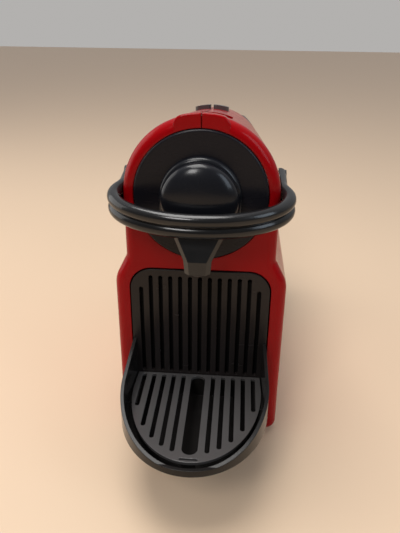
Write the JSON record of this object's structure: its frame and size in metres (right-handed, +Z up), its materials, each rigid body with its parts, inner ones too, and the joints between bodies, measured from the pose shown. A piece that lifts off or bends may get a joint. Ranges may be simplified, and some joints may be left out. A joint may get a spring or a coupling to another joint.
{
  "type": "pod coffee machine",
  "caption": "Compact red pod coffee machine with a round black face, U-shaped lever, slotted panel, drip tray and rear water tank.",
  "frame": {"origin": "middle of the footprint, on the surface that the feet stand on", "axes": "+Z up, -Y towards the user and the drip tray, +X to the user's right"},
  "size_m": [0.1134, 0.321, 0.2301],
  "materials": {
    "red_gloss": "glossy red moulded casing",
    "black_satin": "satin black moulding",
    "black_gloss": "glossy black grid plate",
    "dark_grey": "dark grey moulding",
    "smoked_clear": "smoked see-through water tank",
    "rubber": "soft black rubber",
    "steel": "plain steel",
    "aluminium": "cast and machined aluminium",
    "white_plastic": "natural moulding of the water path",
    "silicone": "milky silicone hose",
    "board_green": "circuit board",
    "coil_resin": "moulded coil"
  },
  "bodies": {
    "machine": {"left_housing": "red_gloss", "right_housing": "red_gloss", "base": "black_satin", "feet": "rubber", "cord_gland": "rubber", "rear_cover": "black_satin", "casing_screws": "steel", "face_disc": "black_satin", "face_dome": "black_satin", "spout": "black_satin", "spout_nozzle": "dark_grey", "lever_bushes": "dark_grey", "brew_frame": "white_plastic", "extraction_plate": "steel", "brew_seal": "rubber", "boiler": "aluminium", "boiler_mounts": "steel", "thermostats": "steel", "pump_body": "white_plastic", "pump_coil": "coil_resin", "pump_bracket": "steel", "pump_pads": "rubber", "pump_spring": "steel", "flow_meter": "white_plastic", "tank_hose": "silicone", "meter_hose": "silicone", "boiler_hose": "silicone", "control_board": "board_green", "button_board": "board_green", "small_cup_spring": "steel", "large_cup_spring": "steel", "tank_socket": "white_plastic"},
    "lever": {"lever_loop": "dark_grey", "lever_shafts": "steel"},
    "cage": {"capsule_cage": "aluminium", "cage_carriage": "white_plastic"},
    "door": {"capsule_door": "red_gloss"},
    "bin": {"capsule_bin": "black_satin", "front_grid": "dark_grey", "drip_tray": "black_satin"},
    "grid": {"drip_grid": "black_gloss"},
    "tank": {"tank_shell": "smoked_clear", "valve_seal": "rubber", "valve_cage": "white_plastic", "valve_spring": "steel"},
    "lid": {"tank_lid": "black_satin"},
    "valve": {"valve_plunger": "white_plastic"},
    "small_button": {"small_cup_button": "dark_grey"},
    "large_button": {"large_cup_button": "dark_grey"},
    "plunger": {"pump_plunger": "steel"},
    "impeller": {"flow_impeller": "white_plastic"}
  },
  "joints": [
    {"name": "lever_pivot", "type": "hinge", "parent": "machine", "child": "lever", "pos_m": [0, -0.0335, 0.183], "axis": [-1, 0, 0], "range_deg": [0, 100]},
    {"name": "cage_slide", "type": "slide", "parent": "machine", "child": "cage", "axis": [0, 1, 0], "range_m": [0, 0.02806]},
    {"name": "door_slide", "type": "slide", "parent": "machine", "child": "door", "axis": [0, 0.9881, -0.154], "range_m": [0, 0.03]},
    {"name": "bin_slide", "type": "slide", "parent": "machine", "child": "bin", "axis": [0, -1, 0], "range_m": [0, 0.115]},
    {"name": "grid_lift", "type": "slide", "parent": "bin", "child": "grid", "axis": [0, 0, 1], "range_m": [0, 0.05]},
    {"name": "tank_lift", "type": "slide", "parent": "machine", "child": "tank", "axis": [0, 0, 1], "range_m": [0, 0.08]},
    {"name": "lid_hinge", "type": "hinge", "parent": "tank", "child": "lid", "pos_m": [0, 0.108, 0.1858], "axis": [1, 0, 0], "range_deg": [0, 85]},
    {"name": "valve_slide", "type": "slide", "parent": "tank", "child": "valve", "axis": [0, 0, -1], "range_m": [0, 0.0019], "deforming": ["valve_spring"]},
    {"name": "small_button_press", "type": "slide", "parent": "machine", "child": "small_button", "axis": [0, 0, -1], "range_m": [0, 0.0012], "stiffness_N_per_m": 500, "springref_m": -0.0006, "deforming": ["small_cup_spring"]},
    {"name": "large_button_press", "type": "slide", "parent": "machine", "child": "large_button", "axis": [0, 0, -1], "range_m": [0, 0.0012], "stiffness_N_per_m": 500, "springref_m": -0.0006, "deforming": ["large_cup_spring"]},
    {"name": "plunger_stroke", "type": "slide", "parent": "machine", "child": "plunger", "axis": [0, 0, 1], "range_m": [-0.0014, 0.0014], "stiffness_N_per_m": 900, "deforming": ["pump_spring"]},
    {"name": "impeller_spin", "type": "hinge", "parent": "machine", "child": "impeller", "pos_m": [0.016, 0.0615, 0.0159], "axis": [0, 0, 1], "continuous": true}
  ],
  "couplings": [
    {"joint": "cage_slide", "follows": "lever_pivot", "m_per_rad": 0.016064},
    {"joint": "door_slide", "follows": "lever_pivot", "m_per_rad": 0.01718},
    {"joint": "valve_slide", "follows": "tank_lift", "ratio": 0.0237}
  ]
}
